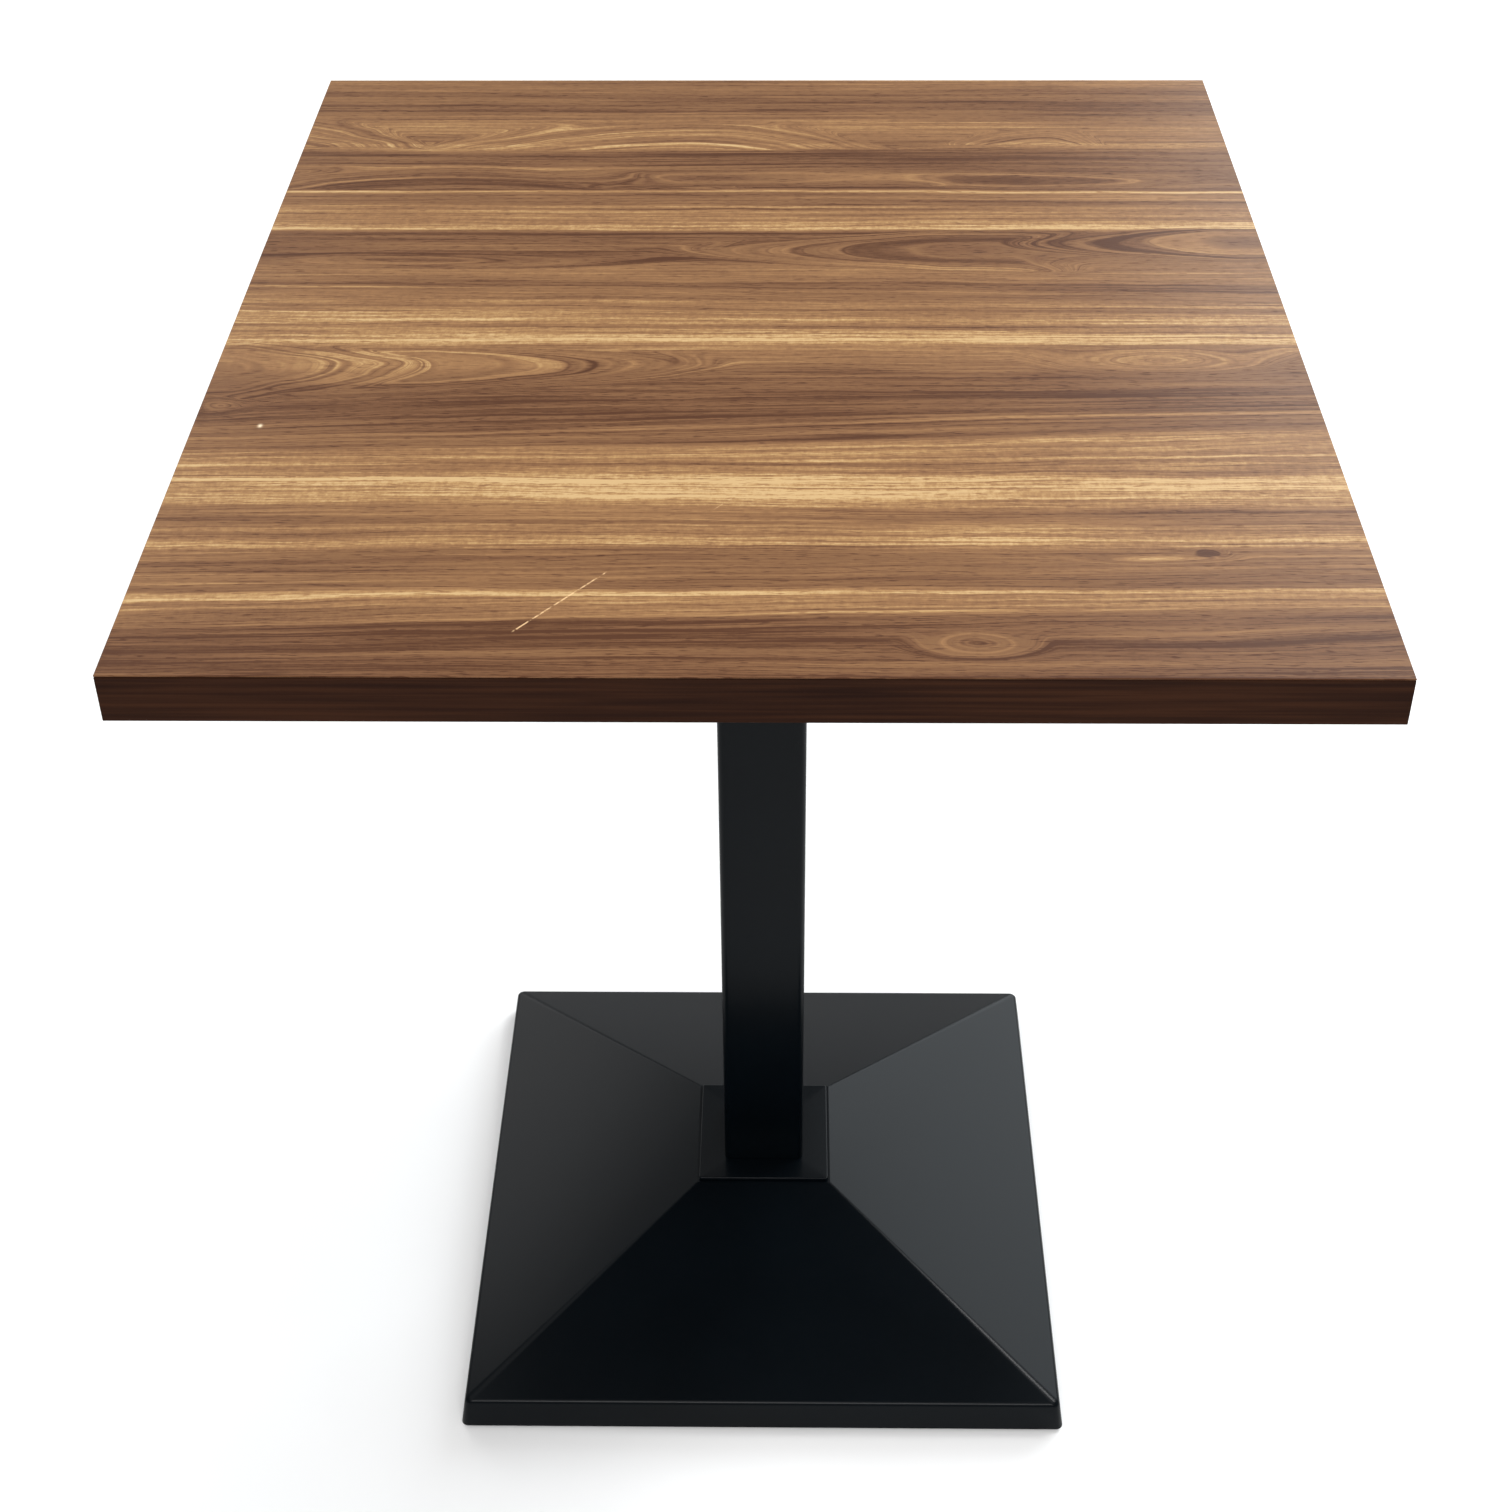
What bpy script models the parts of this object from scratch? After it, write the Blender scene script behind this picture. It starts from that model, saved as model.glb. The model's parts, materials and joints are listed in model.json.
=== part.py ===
"""Bistro table: a rectangular walnut-faced top on a square column that rises from a pyramid-shaped base.

Metres, +Z up. The origin is on the floor, under the centre of the table. X runs along the top's shorter
side, which is also the way its grain runs, and Y along its longer side. One M12 tie rod clamps the
spider, column, cap plate, cover and counterweight together, and four M8 feet level the table.
"""

import math

import bmesh
import bpy
from mathutils import Matrix, Vector

MM = 0.001
GAP = 0.3 * MM  # between pieces that touch on the real table

# Driving dimensions
TOP_WIDTH = 600 * MM
TOP_DEPTH = 700 * MM
TOP_THICKNESS = 26 * MM
TABLE_HEIGHT = 748 * MM
LAMINATE = 0.9 * MM
EDGE_BAND = 2.0 * MM
COLUMN_SIDE = 57 * MM
COLUMN_WALL = 2 * MM
COLUMN_CORNER = 5 * MM
BASE_SIDE = 418 * MM
BASE_CLEARANCE = 3 * MM  # under the skirt, with the feet screwed in
SKIRT_HEIGHT = 22 * MM
SKIRT_DRAFT = 3.4 * MM  # how far each side leans out towards the floor
CAP_SIDE = 94 * MM
CAP_THICKNESS = 2.8 * MM
CAP_TOP = 78 * MM
COVER_SHEET = 2 * MM
FOOT_SPREAD = 160 * MM  # from the middle of the base to a foot, along X and along Y

# Standard hardware
ROD_RADIUS = 6 * MM  # M12
ROD_HOLE = 6.6 * MM
NUT_ACROSS_FLATS = 19 * MM
NUT_HEIGHT = 9 * MM
WASHER_RADIUS = 12 * MM
WASHER_THICKNESS = 2.4 * MM
NUT_POCKET = 14.5 * MM
STUD_RADIUS = 4 * MM  # M8
PAD_RADIUS = 15 * MM
PAD_HEIGHT = 7 * MM
SCREW_SHANK = 2.2 * MM
SCREW_HOLE = 2.6 * MM

# Heights that follow from them
TOP_UNDERSIDE = TABLE_HEIGHT - TOP_THICKNESS
SKIRT_TOP = BASE_CLEARANCE + SKIRT_HEIGHT
COVER_TOP = CAP_TOP - CAP_THICKNESS - GAP
COVER_TOP_SIDE = CAP_SIDE + 3 * MM
PYRAMID_SIDE = BASE_SIDE - 2 * SKIRT_DRAFT

# Top spider
SPIDER_TOP = TOP_UNDERSIDE - GAP
SPIDER_ARM_THICKNESS = 6 * MM
SPIDER_ARM_WIDTH = 30 * MM
SPIDER_ARM_REACH = 155 * MM  # from the middle to the centre of an arm's round end
SPIDER_HUB_SIDE = 72 * MM
SPIDER_HUB_HEIGHT = 20 * MM
SPIDER_HUB_RELIEF = 1 * MM  # the arms alone bear on the board
SPIDER_FLOOR = 6 * MM  # metal left under the nut pocket
SPIDER_RIB_REACH = 92 * MM
SPIDER_RIB_WIDTH = 6 * MM
SPIGOT_SIDE = COLUMN_SIDE - 2 * COLUMN_WALL - 1 * MM
SPIGOT_HEIGHT = 12 * MM
SCREW_REACHES = (108 * MM, SPIDER_ARM_REACH)  # two screws on each arm
SCREW_HEAD_RADIUS = 4.5 * MM
SCREW_HEAD_HEIGHT = 3 * MM
SCREW_LENGTH = 24 * MM
HUB_BOTTOM = SPIDER_TOP - SPIDER_HUB_HEIGHT
COLUMN_BOTTOM = CAP_TOP + GAP
COLUMN_TOP = HUB_BOTTOM - GAP

# Counterweight
WEIGHT_SIDE = 372 * MM
WEIGHT_BOTTOM = 12 * MM
WEIGHT_THICKNESS = 10 * MM
WEIGHT_CORNER = 20 * MM
BOSS_FOOT_SIDE = 116 * MM
BOSS_TOP_SIDE = 84 * MM
BOSS_TOP = COVER_TOP - COVER_SHEET - GAP
WEIGHT_POCKET_DEPTH = 14 * MM
INSERT_RADIUS = 7 * MM

ARM_ANGLES = [math.radians(45 + 90 * i) for i in range(4)]
FOOT_PLACES = [
    (FOOT_SPREAD * x, FOOT_SPREAD * y) for x, y in ((1, -1), (1, 1), (-1, 1), (-1, -1))
]
ROUND_STEPS = 24
SMALL_ROUND_STEPS = 16


def clear_scene():
    for obj in list(bpy.data.objects):
        bpy.data.objects.remove(obj)


def make_collection(name):
    collection = bpy.data.collections.new(name)
    bpy.context.scene.collection.children.link(collection)
    return collection


def make_material(name, colour, roughness, metallic=0.0):
    material = bpy.data.materials.new(name)
    material.use_nodes = True
    shader = material.node_tree.nodes["Principled BSDF"]
    shader.inputs["Base Color"].default_value = (*colour, 1.0)
    shader.inputs["Roughness"].default_value = roughness
    shader.inputs["Metallic"].default_value = metallic
    return material


def add_object(name, data, place=(0, 0, 0), material=None):
    """A new object in the table's collection or, with no material, a cutter or a shape to be joined."""
    obj = bpy.data.objects.new(name, data)
    obj.location = place
    if material is None:
        HELPERS.objects.link(obj)
        obj.hide_render = True
        obj.display_type = "WIRE"
    else:
        TABLE.objects.link(obj)
        data.materials.append(material)
    return obj


def shade_round(mesh):
    mesh.shade_smooth()
    mesh.set_sharp_from_angle(angle=math.radians(30))


def box(name, size, place, material=None):
    """A box of that size, centred on place."""
    shape = bmesh.new()
    bmesh.ops.create_cube(shape, size=1.0)
    bmesh.ops.scale(shape, vec=size, verts=shape.verts)
    mesh = bpy.data.meshes.new(name)
    shape.to_mesh(mesh)
    shape.free()
    return add_object(name, mesh, place, material)


def prism(name, sides, radius, low, high, place=(0, 0), material=None):
    """A cylinder, or a prism of that many sides, between two heights. radius is to its corners."""
    shape = bmesh.new()
    bmesh.ops.create_cone(
        shape, cap_ends=True, segments=sides, radius1=radius, radius2=radius, depth=high - low
    )
    mesh = bpy.data.meshes.new(name)
    shape.to_mesh(mesh)
    shape.free()
    shade_round(mesh)
    return add_object(name, mesh, (*place, (low + high) / 2), material)


def turned(name, profile, place=(0, 0), material=None, steps=ROUND_STEPS):
    """A closed ring of (radius, height) points, or an open line from axis to axis, turned round Z."""
    mesh = bpy.data.meshes.new(name)
    points = [(radius, 0, height) for radius, height in profile]
    edges = [(i, i + 1) for i in range(len(points) - 1)]
    if profile[0][0] > 0:
        edges.append((len(points) - 1, 0))
    mesh.from_pydata(points, edges, [])
    obj = add_object(name, mesh, (*place, 0), material)
    screw = obj.modifiers.new("Turn", "SCREW")
    screw.steps = screw.render_steps = steps
    screw.use_merge_vertices = True
    screw.merge_threshold = 0.00001
    screw.use_smooth_shade = False
    return obj


def flat_shape(name, outlines, low, high, material=None):
    """Outlines in the XY plane, filled and extruded between two heights, as a mesh with welded caps."""
    curve = bpy.data.curves.new(name, "CURVE")
    curve.dimensions = "2D"
    curve.fill_mode = "BOTH"
    curve.extrude = (high - low) / 2
    for outline in outlines:
        spline = curve.splines.new("POLY")
        spline.points.add(len(outline) - 1)
        for point, (x, y) in zip(spline.points, outline):
            point.co = (x, y, 0, 1)
        spline.use_cyclic_u = True
    guide = bpy.data.objects.new(name + "_guide", curve)
    HELPERS.objects.link(guide)
    bpy.context.view_layer.update()
    evaluated = guide.evaluated_get(bpy.context.evaluated_depsgraph_get())
    mesh = bpy.data.meshes.new_from_object(evaluated)
    bpy.data.objects.remove(guide)
    shape = bmesh.new()
    shape.from_mesh(mesh)
    bmesh.ops.remove_doubles(shape, verts=shape.verts, dist=0.00001)
    bmesh.ops.recalc_face_normals(shape, faces=shape.faces)
    shape.to_mesh(mesh)
    shape.free()
    mesh.name = name
    return add_object(name, mesh, (0, 0, (low + high) / 2), material)


def rounded_square(side, corner, steps=6):
    """Outline of a square with round corners, centred on the origin."""
    middle = side / 2 - corner
    points = []
    for quarter in range(4):
        start = quarter * math.pi / 2
        centre_x = math.copysign(middle, math.cos(start + math.pi / 4))
        centre_y = math.copysign(middle, math.sin(start + math.pi / 4))
        for step in range(steps + 1):
            angle = start + step / steps * math.pi / 2
            points.append((centre_x + corner * math.cos(angle), centre_y + corner * math.sin(angle)))
    return points


def cross_outline(reach, width, steps=10):
    """Outline of four diagonal arms with round ends whose centres are reach from the origin."""
    points = []
    for angle in ARM_ANGLES:
        centre_x = reach * math.cos(angle)
        centre_y = reach * math.sin(angle)
        for step in range(steps + 1):
            turn = angle - math.pi / 2 + step / steps * math.pi
            points.append((centre_x + width / 2 * math.cos(turn), centre_y + width / 2 * math.sin(turn)))
        inner = angle + math.pi / 4
        points.append((width / math.sqrt(2) * math.cos(inner), width / math.sqrt(2) * math.sin(inner)))
    return points


def combine(obj, operation, others):
    for other in others:
        boolean = obj.modifiers.new(operation.title(), "BOOLEAN")
        boolean.operation = operation
        boolean.object = other


def round_edges(obj, width, segments=2, angle=30):
    bevel = obj.modifiers.new("Round", "BEVEL")
    bevel.width = width
    bevel.segments = segments
    bevel.limit_method = "ANGLE"
    bevel.angle_limit = math.radians(angle)


def screw_places():
    return [
        (reach * math.cos(angle), reach * math.sin(angle))
        for angle in ARM_ANGLES
        for reach in SCREW_REACHES
    ]


def pilot_holes():
    """Cutters for the holes that the spider's screws take in the board."""
    return [
        prism(
            f"cut_pilot_{i}",
            SMALL_ROUND_STEPS,
            SCREW_HOLE,
            TOP_UNDERSIDE - 5 * MM,
            SPIDER_TOP - SPIDER_ARM_THICKNESS + SCREW_LENGTH + 1 * MM,
            place,
        )
        for i, place in enumerate(screw_places(), 1)
    ]


def make_top():
    """The board between its laminates. The upper one also covers the edge bands round the board."""
    inner_width = TOP_WIDTH - 2 * (EDGE_BAND + GAP)
    inner_depth = TOP_DEPTH - 2 * (EDGE_BAND + GAP)
    board_low = TOP_UNDERSIDE + LAMINATE + GAP
    board_high = TABLE_HEIGHT - LAMINATE - GAP
    holes = pilot_holes()
    core_size = (inner_width, inner_depth, board_high - board_low)
    core = box("core_board", core_size, (0, 0, (board_low + board_high) / 2), CHIPBOARD)
    combine(core, "DIFFERENCE", holes)
    backing_size = (inner_width, inner_depth, LAMINATE)
    backing = box("backing_laminate", backing_size, (0, 0, TOP_UNDERSIDE + LAMINATE / 2), BACKING)
    combine(backing, "DIFFERENCE", holes)
    laminate_size = (TOP_WIDTH, TOP_DEPTH, LAMINATE)
    laminate = box("top_laminate", laminate_size, (0, 0, TABLE_HEIGHT - LAMINATE / 2), WALNUT)
    round_edges(laminate, 0.25 * MM, segments=1)
    band_height = board_high - TOP_UNDERSIDE
    band_middle = (board_high + TOP_UNDERSIDE) / 2
    offset_x = (TOP_WIDTH - EDGE_BAND) / 2
    offset_y = (TOP_DEPTH - EDGE_BAND) / 2
    for name, size, place in (
        ("edge_band_front", (TOP_WIDTH, EDGE_BAND, band_height), (0, -offset_y)),
        ("edge_band_back", (TOP_WIDTH, EDGE_BAND, band_height), (0, offset_y)),
        ("edge_band_left", (EDGE_BAND, inner_depth, band_height), (-offset_x, 0)),
        ("edge_band_right", (EDGE_BAND, inner_depth, band_height), (offset_x, 0)),
    ):
        band = box(name, size, (*place, band_middle), EDGING)
        round_edges(band, 0.3 * MM, segments=1)


def make_rib(name, angle):
    """A triangular web under one arm of the spider, from its hub outwards."""
    start = SPIDER_HUB_SIDE / 2 - 5 * MM
    arm_bottom = SPIDER_TOP - SPIDER_ARM_THICKNESS
    outline = [
        (start, HUB_BOTTOM + 1 * MM),
        (SPIDER_RIB_REACH, arm_bottom - 1 * MM),
        (SPIDER_RIB_REACH, arm_bottom + 2 * MM),
        (start, arm_bottom + 2 * MM),
    ]
    rib = flat_shape(name, [outline], -SPIDER_RIB_WIDTH / 2, SPIDER_RIB_WIDTH / 2)
    stand_up = Matrix.Rotation(math.pi / 2, 4, "X")
    rib.matrix_world = Matrix.Rotation(angle, 4, "Z") @ stand_up
    return rib


def make_spider():
    """Four arms, a hub with a pocket for the rod's nut, and a spigot that sits in the column."""
    arm_bottom = SPIDER_TOP - SPIDER_ARM_THICKNESS
    arms = [cross_outline(SPIDER_ARM_REACH, SPIDER_ARM_WIDTH)]
    spider = flat_shape("top_spider", arms, arm_bottom, SPIDER_TOP, BLACK_STEEL)
    hub_size = (SPIDER_HUB_SIDE, SPIDER_HUB_SIDE, SPIDER_HUB_HEIGHT - SPIDER_HUB_RELIEF)
    hub = box("join_hub", hub_size, (0, 0, HUB_BOTTOM + hub_size[2] / 2))
    spigot = flat_shape(
        "join_spigot",
        [rounded_square(SPIGOT_SIDE, COLUMN_CORNER)],
        HUB_BOTTOM - SPIGOT_HEIGHT,
        HUB_BOTTOM + 2 * MM,
    )
    ribs = [make_rib(f"join_rib_{i}", angle) for i, angle in enumerate(ARM_ANGLES, 1)]
    combine(spider, "UNION", [hub, spigot, *ribs])
    pocket_floor = HUB_BOTTOM + SPIDER_FLOOR
    pocket = prism("cut_pocket", ROUND_STEPS, NUT_POCKET, pocket_floor, SPIDER_TOP + 5 * MM)
    bore = prism("cut_spider_bore", ROUND_STEPS, ROD_HOLE, HUB_BOTTOM - 20 * MM, SPIDER_TOP)
    holes = [
        prism(f"cut_arm_{i}", SMALL_ROUND_STEPS, SCREW_HOLE, HUB_BOTTOM, SPIDER_TOP + 5 * MM, place)
        for i, place in enumerate(screw_places(), 1)
    ]
    combine(spider, "DIFFERENCE", [pocket, bore, *holes])


def make_spider_screws():
    """Pan-head wood screws, driven up through the arms into the board."""
    seat = SPIDER_TOP - SPIDER_ARM_THICKNESS - GAP
    profile = [
        (0, seat + SCREW_LENGTH),
        (SCREW_SHANK, seat + SCREW_LENGTH - 5 * MM),
        (SCREW_SHANK, seat),
        (SCREW_HEAD_RADIUS, seat),
        (SCREW_HEAD_RADIUS, seat - SCREW_HEAD_HEIGHT / 3),
        (SCREW_HEAD_RADIUS * 0.7, seat - SCREW_HEAD_HEIGHT * 0.85),
        (0, seat - SCREW_HEAD_HEIGHT),
    ]
    for i, place in enumerate(screw_places(), 1):
        turned(f"spider_screw_{i}", profile, place, ZINC, SMALL_ROUND_STEPS)


def make_column():
    """The square tube, and the block that centres its lower end on the cap plate."""
    inner_side = COLUMN_SIDE - 2 * COLUMN_WALL
    outlines = [
        rounded_square(COLUMN_SIDE, COLUMN_CORNER),
        rounded_square(inner_side, COLUMN_CORNER - COLUMN_WALL),
    ]
    flat_shape("column_tube", outlines, COLUMN_BOTTOM, COLUMN_TOP, BLACK_STEEL)
    block = flat_shape(
        "column_spigot",
        [rounded_square(SPIGOT_SIDE, COLUMN_CORNER)],
        COLUMN_BOTTOM,
        COLUMN_BOTTOM + SPIGOT_HEIGHT,
        BLACK_STEEL,
    )
    bore = prism("cut_spigot_bore", ROUND_STEPS, ROD_HOLE, CAP_TOP - 10 * MM, CAP_TOP + 30 * MM)
    combine(block, "DIFFERENCE", [bore])


def make_nut(name, low):
    corner_radius = NUT_ACROSS_FLATS / 2 / math.cos(math.pi / 6)
    nut = prism(name, 6, corner_radius, low, low + NUT_HEIGHT, material=ZINC)
    bore = prism(f"cut_{name}", ROUND_STEPS, ROD_RADIUS + GAP, low - 5 * MM, low + 15 * MM)
    combine(nut, "DIFFERENCE", [bore])


def make_washer(name, low):
    high = low + WASHER_THICKNESS
    profile = [
        (WASHER_RADIUS, high),
        (WASHER_RADIUS, low),
        (ROD_RADIUS + GAP, low),
        (ROD_RADIUS + GAP, high),
    ]
    turned(name, profile, material=ZINC)


def make_tie_rod():
    """The rod that clamps the column, with a nut and a washer at each end."""
    pocket_floor = HUB_BOTTOM + SPIDER_FLOOR
    top_washer_low = pocket_floor + GAP
    top_nut_low = top_washer_low + WASHER_THICKNESS + GAP
    make_washer("top_washer", top_washer_low)
    make_nut("top_nut", top_nut_low)
    pocket_roof = WEIGHT_BOTTOM + WEIGHT_POCKET_DEPTH
    bottom_washer_low = pocket_roof - GAP - WASHER_THICKNESS
    bottom_nut_low = bottom_washer_low - GAP - NUT_HEIGHT
    make_washer("bottom_washer", bottom_washer_low)
    make_nut("bottom_nut", bottom_nut_low)
    chamfer = 1 * MM
    top = top_nut_low + NUT_HEIGHT + 1.2 * MM
    bottom = bottom_nut_low - 1.2 * MM
    profile = [
        (0, top),
        (ROD_RADIUS - chamfer, top),
        (ROD_RADIUS, top - chamfer),
        (ROD_RADIUS, bottom + chamfer),
        (ROD_RADIUS - chamfer, bottom),
        (0, bottom),
    ]
    turned("tie_rod", profile, material=ZINC)


def make_cap_plate():
    size = (CAP_SIDE, CAP_SIDE, CAP_THICKNESS)
    plate = box("cap_plate", size, (0, 0, CAP_TOP - CAP_THICKNESS / 2), BLACK_STEEL)
    round_edges(plate, 0.8 * MM)
    bore = prism("cut_cap_bore", ROUND_STEPS, ROD_HOLE, CAP_TOP - 20 * MM, CAP_TOP + 20 * MM)
    combine(plate, "DIFFERENCE", [bore])


def make_base_cover():
    """A pressed-steel shell: a flat top, four shallow slopes, and a skirt leaning out to the floor."""
    shape = bmesh.new()
    bmesh.ops.create_cone(
        shape,
        cap_ends=True,
        segments=4,
        radius1=PYRAMID_SIDE / math.sqrt(2),
        radius2=COVER_TOP_SIDE / math.sqrt(2),
        depth=COVER_TOP - SKIRT_TOP,
        matrix=Matrix.Rotation(math.pi / 4, 4, "Z"),
    )
    bmesh.ops.translate(shape, vec=(0, 0, (COVER_TOP + SKIRT_TOP) / 2), verts=shape.verts)
    underside = [face for face in shape.faces if face.normal.z < -0.9]
    rim = list(underside[0].edges)
    bmesh.ops.delete(shape, geom=underside, context="FACES_ONLY")
    skirt = bmesh.ops.extrude_edge_only(shape, edges=rim)
    lower = [item for item in skirt["geom"] if isinstance(item, bmesh.types.BMVert)]
    for corner in lower:
        corner.co.x += math.copysign(SKIRT_DRAFT, corner.co.x)
        corner.co.y += math.copysign(SKIRT_DRAFT, corner.co.y)
        corner.co.z = BASE_CLEARANCE
    bmesh.ops.recalc_face_normals(shape, faces=shape.faces)
    mesh = bpy.data.meshes.new("base_cover")
    shape.to_mesh(mesh)
    shape.free()
    cover = add_object("base_cover", mesh, material=BLACK_STEEL)
    sheet = cover.modifiers.new("Sheet", "SOLIDIFY")
    sheet.thickness = COVER_SHEET
    sheet.offset = -1
    sheet.use_even_offset = True
    round_edges(cover, 0.9 * MM, angle=12)
    bore = prism("cut_cover_bore", ROUND_STEPS, ROD_HOLE, COVER_TOP - 20 * MM, COVER_TOP + 20 * MM)
    combine(cover, "DIFFERENCE", [bore])


def make_counterweight():
    """A cast-iron slab with a boss that carries the column, pocketed below for the rod's nut."""
    slab_top = WEIGHT_BOTTOM + WEIGHT_THICKNESS
    weight = flat_shape(
        "counterweight",
        [rounded_square(WEIGHT_SIDE, WEIGHT_CORNER)],
        WEIGHT_BOTTOM,
        slab_top,
        CAST_IRON,
    )
    shape = bmesh.new()
    boss_bottom = slab_top - 4 * MM
    bmesh.ops.create_cone(
        shape,
        cap_ends=True,
        segments=4,
        radius1=BOSS_FOOT_SIDE / math.sqrt(2),
        radius2=BOSS_TOP_SIDE / math.sqrt(2),
        depth=BOSS_TOP - boss_bottom,
        matrix=Matrix.Rotation(math.pi / 4, 4, "Z"),
    )
    mesh = bpy.data.meshes.new("join_boss")
    shape.to_mesh(mesh)
    shape.free()
    boss = add_object("join_boss", mesh, (0, 0, (BOSS_TOP + boss_bottom) / 2))
    combine(weight, "UNION", [boss])
    pocket_roof = WEIGHT_BOTTOM + WEIGHT_POCKET_DEPTH
    pocket = prism("cut_weight_pocket", ROUND_STEPS, NUT_POCKET, -20 * MM, pocket_roof)
    bore = prism("cut_weight_bore", ROUND_STEPS, ROD_HOLE, 0, CAP_TOP + 20 * MM)
    holes = [
        prism(f"cut_foot_{i}", ROUND_STEPS, INSERT_RADIUS + GAP, 0, SKIRT_TOP + 20 * MM, place)
        for i, place in enumerate(FOOT_PLACES, 1)
    ]
    combine(weight, "DIFFERENCE", [pocket, bore, *holes])


def foot_stud(name, place):
    """A swivel end that sits in the pad, a hexagon to turn it by, and the M8 shank above."""
    swivel = 5.3 * MM
    socket_floor = 2.8 * MM
    neck = 5.6 * MM
    hexagon_low = PAD_HEIGHT + GAP
    hexagon_high = hexagon_low + 3.5 * MM
    shank_top = 32 * MM
    chamfer = 0.8 * MM
    profile = [
        (0, shank_top),
        (STUD_RADIUS - chamfer, shank_top),
        (STUD_RADIUS, shank_top - chamfer),
        (STUD_RADIUS, neck),
        (swivel, neck),
        (swivel, socket_floor + chamfer),
        (swivel - chamfer, socket_floor),
        (0, socket_floor),
    ]
    stud = turned(name, profile, place, ZINC)
    corner_radius = 6.5 * MM / math.cos(math.pi / 6)
    hexagon = prism(f"join_{name}", 6, corner_radius, hexagon_low, hexagon_high, place)
    combine(stud, "UNION", [hexagon])


def make_feet():
    """At each corner: a threaded bush in the slab, a stud in the bush, and a pad that swivels on it."""
    slab_top = WEIGHT_BOTTOM + WEIGHT_THICKNESS
    bore = STUD_RADIUS + GAP
    bush = [
        (10 * MM, slab_top + GAP + 2 * MM),
        (10 * MM, slab_top + GAP),
        (INSERT_RADIUS, slab_top + GAP),
        (INSERT_RADIUS, WEIGHT_BOTTOM),
        (bore, WEIGHT_BOTTOM),
        (bore, slab_top + GAP + 2 * MM),
    ]
    socket = 5.7 * MM
    socket_floor = 2.5 * MM
    socket_lip = 4.5 * MM
    pad = [
        (socket_lip, PAD_HEIGHT),
        (10 * MM, PAD_HEIGHT),
        (PAD_RADIUS - 1 * MM, 3.5 * MM),
        (PAD_RADIUS, 2.2 * MM),
        (PAD_RADIUS, 0.6 * MM),
        (PAD_RADIUS - 0.6 * MM, 0),
        (0, 0),
    ]
    inside = [
        (0, socket_floor),
        (socket, socket_floor),
        (socket, PAD_HEIGHT - 1 * MM),
        (socket_lip, PAD_HEIGHT - 1 * MM),
    ]
    for i, place in enumerate(FOOT_PLACES, 1):
        turned(f"foot_insert_{i}", bush, place, ZINC)
        foot_stud(f"foot_stud_{i}", place)
        turned(f"foot_pad_{i}", [*inside, *pad], place, PAD_PLASTIC)


clear_scene()
TABLE = make_collection("bistro_table")
HELPERS = make_collection("cutters_and_joined_shapes")

WALNUT = make_material("walnut_laminate", (0.27, 0.145, 0.07), 0.38)
EDGING = make_material("walnut_edging", (0.045, 0.022, 0.012), 0.45)
CHIPBOARD = make_material("chipboard", (0.50, 0.38, 0.24), 0.85)
BACKING = make_material("backing_laminate", (0.06, 0.045, 0.035), 0.6)
BLACK_STEEL = make_material("black_powder_coat", (0.012, 0.013, 0.014), 0.4)
CAST_IRON = make_material("cast_iron", (0.03, 0.03, 0.032), 0.7, 0.6)
ZINC = make_material("zinc_plated_steel", (0.62, 0.62, 0.60), 0.35, 1.0)
PAD_PLASTIC = make_material("foot_plastic", (0.02, 0.02, 0.02), 0.6)

make_top()
make_spider()
make_spider_screws()
make_column()
make_tie_rod()
make_cap_plate()
make_base_cover()
make_counterweight()
make_feet()
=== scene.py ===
"""Looks of the bistro table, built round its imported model. Lengths are in metres unless said otherwise."""

import json
import math

import bmesh
import bpy
from mathutils import Matrix, Vector


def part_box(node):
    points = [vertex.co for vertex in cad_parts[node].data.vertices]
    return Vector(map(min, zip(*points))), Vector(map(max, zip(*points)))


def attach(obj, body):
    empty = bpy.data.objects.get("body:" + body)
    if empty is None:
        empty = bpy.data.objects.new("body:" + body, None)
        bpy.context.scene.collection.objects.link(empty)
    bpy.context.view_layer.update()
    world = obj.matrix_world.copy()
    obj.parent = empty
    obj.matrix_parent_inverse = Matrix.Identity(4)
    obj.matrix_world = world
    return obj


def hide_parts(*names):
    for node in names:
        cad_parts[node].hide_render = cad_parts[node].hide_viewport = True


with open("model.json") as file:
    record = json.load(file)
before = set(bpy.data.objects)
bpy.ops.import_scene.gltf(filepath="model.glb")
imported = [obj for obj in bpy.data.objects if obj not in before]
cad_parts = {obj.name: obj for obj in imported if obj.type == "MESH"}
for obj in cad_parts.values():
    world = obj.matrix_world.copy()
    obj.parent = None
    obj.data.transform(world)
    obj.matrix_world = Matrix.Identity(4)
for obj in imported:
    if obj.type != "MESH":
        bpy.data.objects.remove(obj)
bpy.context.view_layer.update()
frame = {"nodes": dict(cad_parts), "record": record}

MM = 0.001
TABLE = "table"

# Camera: a 56 mm lens on a 36 mm sensor, looking down at the table from the front
CAMERA_LENS = 56.0
CAMERA_PLACE = (0.01498, -1.21271, 1.37317)
CAMERA_DOWN = 0.66039  # radians below the horizon
CAMERA_LEFT = 0.01582
CAMERA_ROLL = -0.00653

# Steelwork
COLUMN_CORNER = 5 * MM
SHEET = 2 * MM  # of the cover and the column
SKIRT_HEIGHT = 22 * MM
SKIRT_DRAFT = 3.4 * MM
SKIRT_FOLD_RADIUS = 4 * MM
TOP_FOLD_RADIUS = 2.5 * MM
COVER_TOP_RIM = 1.5 * MM  # how far the cover's flat top reaches past the cap plate

# Fasteners
ROD_PITCH = 1.75 * MM
ROD_HOLE = 6.6 * MM
NUT_BORE = 6.3 * MM
STUD_RADIUS = 4 * MM
STUD_PITCH = 1.25 * MM
BUSH_HOLE = 7.3 * MM  # in the counterweight

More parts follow.
